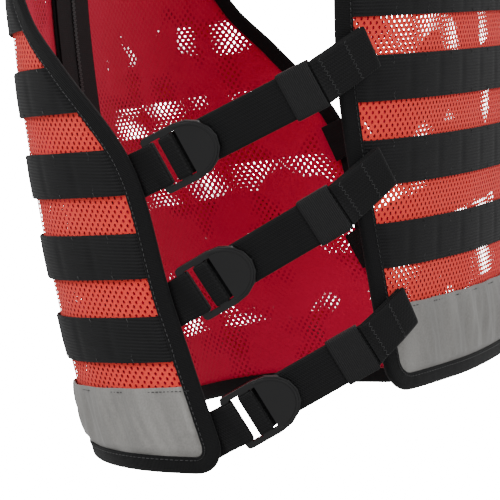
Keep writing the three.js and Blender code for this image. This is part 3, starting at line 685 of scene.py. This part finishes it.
def slab(name, angles, heights, inside, outside, finish, slot_name, node, swell=0.0):
    """A closed strip over a grid of places: an outer and an inner face, its rims drawn together."""
    rows, columns = angles.shape
    u = along_row(angles, heights)
    v = heights - heights[:1, :1]
    rim = np.zeros((rows, columns))
    rim[[0, -1], :] = 0.3
    rim[:, [0, -1]] = 0.3
    outer = skin_point(angles, heights, outside + swell - rim)
    inner = skin_point(angles, heights, inside + swell + rim * 0.5)
    points = np.concatenate([outer.reshape(-1, 3), inner.reshape(-1, 3)])
    flat = np.concatenate([np.stack([u, v], -1).reshape(-1, 2)] * 2)
    count = rows * columns
    front = grid_faces(rows, columns)
    border = np.concatenate([np.arange(columns), np.arange(1, rows) * columns + columns - 1,
                             (rows - 1) * columns + np.arange(columns - 2, -1, -1),
                             np.arange(rows - 2, 0, -1) * columns])
    after = np.roll(border, -1)
    walls = np.stack([border + count, after + count, after, border], -1)
    faces = np.concatenate([front, front[:, ::-1] + count, walls])
    if angles[0, -1] < angles[0, 0]:
        faces = faces[:, ::-1]
    return make_piece(name, points, faces, flat, finish, slot_name, node)


def dropped(side, angles, heights):
    """How far the front rows run down: nothing at the side edge, all of it at the front's middle."""
    if side == "back":
        return 0 * heights
    return front_row_drop * np.maximum(1 - np.abs(angles) / front_outer(heights), 0)


def under_binding(side, angles, heights, deep):
    """How far a strip's ends are pressed in, in millimetres, where they run under the binding."""
    u = along_row(angles, heights)
    inner_end = u if side != "right" else u + 100
    from_end = np.minimum(inner_end, u[:, -1:] - u)
    return deep * np.clip((binding_reach - tuck_reach + 2 - from_end) / 1.5, 0, 1)


def panel_strip(side, low, high, rows, pitch):
    """Places of a strip across a panel, ending under the binding, or clear of the zip's plain strip."""
    heights = np.linspace(low, high, rows)
    ends = level_ends(side, heights, tuck_reach)
    if side == "right":
        ends[:, 0] = -angle_at_x(placket_outer + stitch_gap, heights)
    columns = int(abs(ends[:, 1] - ends[:, 0]).mean() * np.pi / 180 * 150 / pitch) + 2
    angles = ends[:, :1] + (ends[:, 1:] - ends[:, :1]) * np.linspace(0, 1, columns)[None, :]
    return angles, np.repeat(heights[:, None], columns, 1)


def webbing_row(side, row, low, node):
    """Between stitch columns the strip bows out by a squared sine of the distance along it."""
    angles, heights = panel_strip(side, low, low + webbing_width, 9, 2.2)
    tuck = under_binding(side, angles, heights, 1.35)
    u = along_row(angles, heights)
    if side == "back":
        u = u - u[:, u.shape[1] // 2:u.shape[1] // 2 + 1]
    phase = u / column_pitch + 0.35
    pressed = np.abs(np.cos(np.pi * phase)) ** 24
    bow = np.sin(np.pi * (heights - low) / webbing_width)
    swell = loop_bow * (1 - pressed) * bow - column_depth * pressed
    swell = swell * (tuck < 0.1) - tuck
    drop = dropped(side, angles, heights)
    slab(f"webbing_{node}", angles, heights - drop, leg_outside, row_top, web_finish, "black_webbing",
         node, swell)
    middle_row = angles.shape[0] // 2
    level = phase[middle_row]
    marks = np.arange(math.ceil(level.min()), math.floor(level.max()) + 1) + 0.5
    marks = marks[(marks > level.min() + 0.1) & (marks < level.max() - 0.1)]
    order = np.argsort(level)
    found = np.interp(marks, level[order], angles[middle_row][order])
    tall = np.linspace(low + column_margin, low + webbing_width - column_margin, column_threads)
    angle, height = np.meshgrid(found, tall)
    lean = column_lean * np.where(np.arange(column_threads) % 2, 1, -1)[:, None]
    level = height - dropped(side, angle, height)
    ends = [skin_point(angle + lean * k, level + 1.3 * k, row_top - 0.05) for k in (-1, 1)]
    return [part.reshape(-1, 3) for part in (*ends, skin_frame(angle, level)[1])]


def sewn(name, threads):
    """All threads of several seams, each given as starts, ends and normals, as one piece."""
    stitches(name, *(np.concatenate([part[k] for part in threads]) for k in range(3)))


for side, hem in (("left", 0), ("right", 0), ("back", hem_lift + back_row_lift)):
    threads = []
    for row in range(row_counts[side]):
        node = f"back_webbing_{row + 1}" if side == "back" else f"front_webbing_{side}_{row + 1}"
        threads.append(webbing_row(side, row, hem + first_row + row * row_pitch, node))
    sewn(f"webbing_stitching_{side}", threads)

# Grey reflective cloth above each hem, drawn into soft upright gathers between its two seams, with
# one line of stitches along its top.
reflective_height = 50
gather_height = 2.6
gather_fade = 34
gather_pitch = 26
crease_pitch = 9.0
band_tuck = 1.05
band_seam = 2.2
band_stitch = 3
band_inset = binding_reach + 0.6
silver = (166, 164, 160)
silver_painted_fold_shade = (90, 88, 86)

silver_finish, start, feed = new_finish("reflective_cloth", Sheen_Weight=0.15, Metallic=0.15)
across, up = start.cloth()
grain = start.noise(900.0, 1.0)
fine = (across + up).wave(0.0007) * (across - up).wave(0.0007)
# The band's colour darkens in upright cloudy streaks, which are painted shade of its folds; the fine
# grain mixed in is the cloth's own.
feed(Base_Color=(start.noise(40.0, 3.0, (1, 1, 0.35)) * 0.6 + grain * 0.4).mix(silver_painted_fold_shade, silver),
     Roughness=grain * 0.2 + 0.42,
     Normal=bumped(start, grain * 0.5 + fine * 0.5, 0.00008))


def reflective_band(side, hem, node):
    """The gathers' height is a squared sine along the band, fading towards its seams and its ends."""
    angles, heights = panel_strip(side, hem + tuck_reach, hem + reflective_height, 22, 1.7)
    tuck = under_binding(side, angles, heights, band_tuck)
    tuck = np.maximum(tuck, band_tuck * np.clip((binding_reach + 1.2 - heights + hem) / 1.5, 0, 1))
    middle = hem + (binding_reach + reflective_height) / 2
    u = along_row(angles, heights)
    fade = np.maximum(1 - ((heights - middle) / (reflective_height / 2)) ** 2, 0)
    from_end = np.minimum(u, u[:, -1:] - u)
    ends = np.clip(from_end / gather_fade, 0.15, 1)
    drift = 5 * np.sin(u / 57 + 1.3) + 3 * np.sin(u / 23 + (heights - hem) / 14)
    folds = (np.sin(np.pi * (u + drift) / gather_pitch) ** 2
             + 0.35 * np.sin(np.pi * (u - drift) / crease_pitch) ** 2)
    swell = gather_height * fade * ends * folds * (tuck < 0.1) - tuck
    rise = (heights - hem - tuck_reach) / (reflective_height - tuck_reach)
    heights = heights - dropped(side, angles, heights) * rise
    slab(f"band_{node}", angles, heights, leg_outside, leg_outside + tape_thickness, silver_finish,
         "reflective_tape", node, swell)
    count = int(u[-1, -1] / band_stitch)
    line = np.interp(np.linspace(0, 1, count + 1), np.linspace(0, 1, angles.shape[1]), angles[-1])
    top_edge = np.full(count + 1, hem + reflective_height)
    level = top_edge - band_seam - dropped(side, line, top_edge)
    top = skin_point(line, level, leg_outside + tape_thickness + 0.4)
    step = top[1:] - top[:-1]
    normal = skin_frame(line[:-1], level[:-1])[1]
    stitches(f"band_stitching_{side}", top[:-1] + step * 0.15, top[1:] - step * 0.1, normal)


reflective_band("left", 0, "front_reflective_left")
reflective_band("right", 0, "front_reflective_right")
reflective_band("back", hem_lift, "back_reflective")

# The closed zip behind the front edges: two black tapes, moulded teeth that mesh from both sides, a
# slider with a pull at the top, and the plain strip that is sewn beside it on the wearer's right.
zip_tape_overlap = 9
zip_chain_thickness = 2.4
zip_top = 436
slider_length = 11
tooth_pitch = 2.6
tooth_aside = 0.55
tooth_half = (1.9, zip_chain_thickness / 2, 0.5)
pull_half_width = 3.4
pull_half_length = 12.5


def upright_strip(name, from_x, to_x, low, high, inside, outside, finish, slot_name, node):
    heights = np.linspace(low, high, 140)[:, None]
    xs = np.linspace(from_x, to_x, 7)[None, :]
    angles = angle_at_x(xs + 0 * heights, heights + 0 * xs)
    slab(name, angles, heights + 0 * xs, inside, outside, finish, slot_name, node)


tape_outside = -layer_gap - tape_thickness - layer_gap
tape_inner = 0.3
tape_outer = zip_half_gap + zip_tape_overlap
zip_low = corner_radii["zip"] / 2
for side, ends in (("left", (tape_inner, tape_outer)), ("right", (-tape_outer, -tape_inner))):
    upright_strip(f"zip_cloth_{side}", *ends, zip_low, zip_top, tape_outside - tape_thickness,
                  tape_outside, tape_finish, "binding_tape", f"zip_tape_{side}")
upright_strip("placket_strip", -placket_outer, -placket_inner, band_inset, zip_top - binding_width,
              leg_outside, leg_outside + tape_thickness, tape_finish, "binding_tape", "front_placket")

plastic_finish, start, feed = new_finish("moulded_plastic", Specular_IOR_Level=0.5)
speck = start.noise(700.0, 3.0)
feed(Base_Color=start.noise(50.0).mix((4, 4, 5), (11, 11, 12)),
     Roughness=speck * 0.16 + 0.27,
     Normal=bumped(start, speck, 0.00003))

tooth_box = np.array([(x, y, z) for x in (-1, 1) for y in (-1, 1) for z in (-1, 1)], float)
box_faces = np.array([(0, 1, 3, 2), (4, 6, 7, 5), (0, 4, 5, 1), (2, 3, 7, 6), (0, 2, 6, 4),
                      (1, 5, 7, 3)])
levels = np.arange(zip_low + 1, zip_top - slider_length - 1.5, tooth_pitch / 2)
hands = np.where(np.arange(len(levels)) % 2, 1, -1)
chain_level = tape_outside - tape_thickness / 2
tooth_x = hands[:, None] * tooth_aside + tooth_box[None, :, 0] * tooth_half[0]
tooth_z = levels[:, None] + tooth_box[None, :, 2] * tooth_half[2]
tooth_off = chain_level + tooth_box[None, :, 1] * tooth_half[1]
teeth = skin_point(angle_at_x(tooth_x, tooth_z), tooth_z, tooth_off)
tooth_faces = (box_faces[None] + 8 * np.arange(len(levels))[:, None, None]).reshape(-1, 4)
make_piece("zip_teeth", teeth.reshape(-1, 3), tooth_faces, teeth.reshape(-1, 3)[:, :2], plastic_finish,
           "plastic", "zip_chain", smooth=20)

slider_low = zip_top - slider_length
pull_heights = np.linspace(slider_low - 20, slider_low + 5, 16)[:, None]
pull_turn = np.linspace(0, 2 * np.pi, 17)[None, :-1]
pull_share = (pull_heights - slider_low + 7.5) / pull_half_length
pull_wide = pull_half_width * np.maximum(1 - np.abs(pull_share) ** 6, 0.02) ** 0.5
pull_x = pull_wide * np.cos(pull_turn)
pull_bulge = 0.8 * np.sin(pull_turn) * np.maximum(1 - pull_share ** 8, 0.05)
pull_off = chain_level + zip_chain_thickness + 1.2 + pull_bulge
pull_z = pull_heights + 0 * pull_turn
pull = skin_point(angle_at_x(pull_x, pull_z), pull_z, pull_off)
faces = grid_faces(16, 16, closed=True)
make_piece("zip_pull", pull, faces, pull[..., :2], plastic_finish, "plastic")
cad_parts["zip_slider"].data.materials.clear()
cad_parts["zip_slider"].data.materials.append(plastic_finish)

# Three straps down each open side: 25 mm webbing held by a loop on the front edge through a
# ladder-lock buckle, threaded back over its bar, with a folded and sewn end on the back panel.
# Heights at the front and the back edge as shares, and how far the sewn end lies past the edge.
strap_stations = ((0.037, 0.110, 20), (0.153, 0.236, 20), (0.268, 0.345, 19))
buckle_width = 33.5
buckle_plate = 3.2
fixed_bar = 4.5
adjust_slot = 7
centre_bar = 5.5
tab_slot = 4
tab_length = 20
buckle_from_edge = 8
strap_layer_gap = 0.35
keeper_width = 19.5
fold_length = 32
edge_lead = 13
strap_bend = 4
loop_tuck = 14
tail_level = -strap_layer_gap - webbing_thickness / 2
load_level = tail_level - strap_layer_gap - webbing_thickness
over_bar = buckle_plate + strap_layer_gap + webbing_thickness / 2
fold_level = tail_level + strap_layer_gap + webbing_thickness
loop_high = 2.5
bend_cut = 0.55

strap_finish, start, feed = new_finish("strap_webbing", Sheen_Weight=0.04, Specular_IOR_Level=0.15)
across, up = start.cloth()
twill = (across + up * 0.5).wave(0.0013)
cross = (across - up * 0.5).wave(0.0013)
rib = up.wave(0.0021)
weave = twill * 0.4 + cross * 0.3 + rib * 0.3
# The strap's colour is lighter on the crests of its weave, a painted highlight, and also varies in
# random cloudy tone.
feed(Base_Color=(weave * 0.7 + start.noise(70.0) * 0.3).mix((1, 1, 1), (25, 25, 26)),
     Roughness=weave * 0.2 + 0.5,
     Normal=bumped(start, weave, 0.00022))

elastic_finish, start, feed = new_finish("ribbed_elastic", Sheen_Weight=0.04, Specular_IOR_Level=0.28)
across, up = start.cloth()
ridge = across.wave(0.0011)
feed(Base_Color=(ridge * 0.7 + start.noise(80.0) * 0.3).mix((4, 4, 5), (20, 20, 21)),
     Roughness=ridge * 0.2 + 0.45,
     Normal=bumped(start, ridge, 0.0002))


class StrapSpace:
    """One strap's own space: s along it from the buckle's fixed bar, w across it, n up off it. It is
    straight over the open side and follows the skin past each edge."""

    def __init__(self, station, hand):
        front_height, back_height = station[0] * vest_height, station[1] * vest_height
        lead = np.linalg.norm(skin_frame(back_outer(back_height), back_height)[2])
        self.front = (hand * front_outer(front_height), front_height)
        self.back = (180 - hand * (180 - back_outer(back_height) + edge_lead / lead), back_height)
        self.front_base = (-layer_gap - tape_thickness - layer_gap - strap_layer_gap
                           - webbing_thickness / 2 - loop_high)
        self.back_base = row_top + layer_gap + webbing_thickness / 2 - load_level
        begin = skin_point(*self.front, self.front_base)
        end = skin_point(*self.back, self.back_base)
        self.along = unit(end - begin)
        self.length = np.linalg.norm(end - begin) - buckle_from_edge
        outward = skin_frame(*self.front)[1] + skin_frame(*self.back)[1]
        self.up = unit(outward - self.along * np.dot(outward, self.along))
        self.side = np.cross(self.up, self.along)
        self.origin = begin + self.along * buckle_from_edge

    def straight(self, s, w, n):
        return (self.origin + s[..., None] * self.along + w[..., None] * self.side
                + n[..., None] * self.up)

    def on_skin(self, place, base, s, w, n):
        _, normal, per_angle, per_height = skin_frame(*place)
        flat = unit(self.along - normal * np.dot(self.along, normal))
        step_angle, step_height = skin_step(per_angle, per_height, flat)
        point, normal, per_angle, per_height = skin_frame(
            place[0] + step_angle * s, place[1] + step_height * s)
        heading = unit(per_angle * step_angle + per_height * step_height)
        return point + normal * (base + n)[..., None] + np.cross(normal, heading) * w[..., None]

    def place(self, s, w, n):
        """Blends from the front edge's skin to the straight stretch to the back panel's skin."""
        s, w, n = np.broadcast_arrays(*(np.asarray(a, float) for a in (s, w, n)))
        before = -buckle_from_edge - 1
        lead_in = np.clip((s - before) / (-1 - before), 0, 1)[..., None]
        lead_out = np.clip((s - self.length) / strap_bend, 0, 1)[..., None]
        middle = self.straight(np.clip(s, -1, self.length), w, n)
        front = self.on_skin(self.front, self.front_base, np.minimum(s + buckle_from_edge, -1), w, n)
        back = self.on_skin(self.back, self.back_base, np.maximum(s - self.length, strap_bend), w, n)
        return (front * (1 - lead_in) + middle * lead_in) * (1 - lead_out) + back * lead_out


def ribbon(name, path, space, finish, node):
    """A flat band with rounded edges along a path of s and n, whose bends are eased by an average."""
    path = np.array(path, float)
    run = np.concatenate([[0], np.cumsum(np.linalg.norm(np.diff(path, axis=0), axis=1))])
    stops = np.linspace(0, run[-1], int(run[-1] / 0.7))
    fine = np.stack([np.interp(stops, run, path[:, k]) for k in (0, 1)], -1)
    padded = np.concatenate([fine[:1], fine, fine[-1:]])
    eased = (padded[:-2] + 2 * padded[1:-1] + padded[2:]) / 4
    eased[[0, -1]] = fine[[0, -1]]
    heading = unit(np.gradient(eased, axis=0))
    square = np.stack([-heading[:, 1], heading[:, 0]], -1)
    half, thick = webbing_width / 2, webbing_thickness / 2
    edge = np.array([(half, 0), (half - 0.2, 0.62), (half - 1.1, 0.95), (half - 3, 1), (0, 1),
                     (3 - half, 1), (1.1 - half, 0.95), (0.2 - half, 0.62)])
    section = np.concatenate([edge, -edge]) * (1, thick)
    w = section[None, :, 0]
    s = eased[:, :1] + square[:, :1] * section[None, :, 1]
    n = eased[:, 1:] + square[:, 1:] * section[None, :, 1]
    points = space.place(s, w + 0 * s, n)
    flat = np.stack(np.broadcast_arrays(stops[:, None], w), -1)
    count, around = len(stops), len(section)
    faces = grid_faces(count, around, closed=True)
    k = np.arange(around // 2 - 1)
    cap = np.stack([k, k + 1, around - 2 - k, around - 1 - k], -1)
    faces = np.concatenate([faces, cap[:, ::-1], cap + (count - 1) * around])
    make_piece(name, points, faces[:, ::-1], flat, finish, "black_webbing", node, smooth=60)


def strap_path(length, tail):
    """The strap's middle line as s and n: load end, over the adjusting bar, back, and folded under."""
    bar_start = fixed_bar + adjust_slot
    bar_end = bar_start + centre_bar
    room = strap_layer_gap + webbing_thickness / 2
    up_turn, down_turn = bar_start - room, bar_end + room
    end = length + edge_lead + tail
    fold_start = end - fold_length
    return ([(end, load_level), (bar_end + 8, load_level), (bar_start + 1, load_level),
             (up_turn, load_level + 1.4), (up_turn, over_bar - bend_cut), (up_turn + bend_cut, over_bar),
             (down_turn - bend_cut, over_bar), (down_turn, over_bar - bend_cut), (down_turn, 0.6),
             (bar_end + 3, tail_level), (end, tail_level), (end + 1.2, (tail_level + fold_level) / 2),
             (end, fold_level), (fold_start, fold_level)])


def loop_path():
    """The loop's middle line as s and n: from the front edge round the fixed bar and back."""
    room = strap_layer_gap + webbing_thickness / 2
    low = loop_high - webbing_thickness - strap_layer_gap
    begin = -buckle_from_edge - loop_tuck
    turn = fixed_bar + room
    edge = -buckle_from_edge - 2
    return [(begin, loop_high), (edge, loop_high), (-1.2, over_bar - 0.5), (0.6, over_bar),
            (turn - bend_cut, over_bar), (turn, over_bar - bend_cut), (turn, bend_cut - room),
            (turn - bend_cut, -room), (0.6, -room), (-1.2, -0.3), (edge, low), (begin, low)]


def keeper_ring(name, space, start, node):
    """A closed flat ring round both layers, with a rounded section and eased outer rims."""
    room = strap_layer_gap
    low = load_level - webbing_thickness / 2 - room
    high = tail_level + webbing_thickness / 2 + room
    middle, rise, half = (low + high) / 2, (high - low) / 2, webbing_width / 2 + room
    around = 48
    turn = np.linspace(0, 2 * np.pi, around + 1)[:-1]

    def loop(grow):
        c, s = np.cos(turn), np.sin(turn)
        return ((half + grow) * np.sign(c) * np.abs(c) ** 0.12,
                middle + (rise + grow) * np.sign(s) * np.abs(s) ** 0.25)

    stations = np.linspace(0, 1, 21)
    s_values = start + keeper_width * np.concatenate([stations, stations[::-1]])
    grows = np.concatenate([np.full(21, tape_thickness), np.full(21, 0.05)])
    grows[[0, 20]] -= 0.3
    rings = [loop(grow) for grow in grows]
    w = np.stack([ring[0] for ring in rings])
    n = np.stack([ring[1] for ring in rings])
    points = space.place(s_values[:, None] + 0 * w, w, n)
    flat = np.stack([s_values[:, None] + 0 * w, w], -1)
    faces = ring_faces(len(s_values), around)[:, ::-1]
    make_piece(name, points, faces, flat, elastic_finish, "elastic", node)


def tab_rim(name, space):
    """A low round ridge just inside the tab's edge: a small tube along a half ellipse."""
    shoulder = fixed_bar + adjust_slot + centre_bar + tab_slot
    bow = np.linspace(-np.pi / 2, np.pi / 2, 40)[:, None]
    turn = np.linspace(0, 2 * np.pi, 9)[None, :-1]
    reach = 1 - 0.11 + 0.045 * np.cos(turn)
    s = shoulder + tab_length * np.cos(bow) * reach
    w = buckle_width / 2 * np.sin(bow) * reach
    n = buckle_plate + 0.55 * np.sin(turn) + 0 * bow
    points = space.place(s, w, n)
    faces = grid_faces(40, 8, closed=True)
    caps = np.array([(3, 2, 1, 0), (7, 4, 3, 0), (7, 6, 5, 4)])
    faces = np.concatenate([faces, caps, caps[:, ::-1] + 39 * 8])
    make_piece(name, points, faces, points[..., :2], plastic_finish, "plastic")


def rounded_copy(name, node, width, finish):
    """The CAD solid's own shape with its doubles merged and every sharp edge rounded."""
    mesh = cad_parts[node].data.copy()
    mesh.name = name
    piece = shown(name, mesh)
    mesh.materials.clear()
    mesh.materials.append(finish)
    weld = piece.modifiers.new("weld", "WELD")
    weld.merge_threshold = 0.00002
    bevel = piece.modifiers.new("bevel", "BEVEL")
    bevel.width = width
    bevel.segments = 3
    bevel.limit_method = "ANGLE"
    bevel.angle_limit = math.radians(35)
    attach(piece, "root")
    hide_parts(node)


tack_places = (12, 27)
tack_threads = 16
tack_reach = 11
tack_lean = 0.9
buckle_rounding = 0.0006


def zigzag(space, s, level, count, reach, step):
    """Threads across the strap at s, leaning by turns, as a bar tack."""
    w = np.linspace(-reach, reach, count)
    lean = np.where(np.arange(count) % 2, 1.0, -1.0) * step
    spacing = w[1] - w[0]
    begins = space.place(s - lean, w - spacing / 2, np.full(count, level))
    ends = space.place(s + lean, w + spacing / 2, np.full(count, level))
    return begins, ends, np.repeat(space.up[None], count, 0)


for side, hand in (("left", 1), ("right", -1)):
    for number, station in enumerate(strap_stations, 1):
        tag = f"{side}_{number}"
        space = StrapSpace(station, hand)
        end = space.length + edge_lead + station[2]
        strap_line = strap_path(space.length, station[2])
        ribbon(f"strap_{tag}", strap_line, space, strap_finish, f"side_strap_{tag}")
        ribbon(f"strap_loop_{tag}", loop_path(), space, strap_finish, f"side_loop_{tag}")
        keeper_start = end - fold_length - webbing_thickness / 2 - stitch_gap - keeper_width
        keeper_ring(f"keeper_{tag}", space, keeper_start, f"side_keeper_{tag}")
        rounded_copy(f"buckle_{tag}", f"side_buckle_{tag}", buckle_rounding, plastic_finish)
        tab_rim(f"buckle_rim_{tag}", space)
        top = fold_level + webbing_thickness / 2
        sewn(f"strap_stitching_{tag}", [
            zigzag(space, end - place, top, tack_threads, tack_reach, tack_lean)
            for place in tack_places])
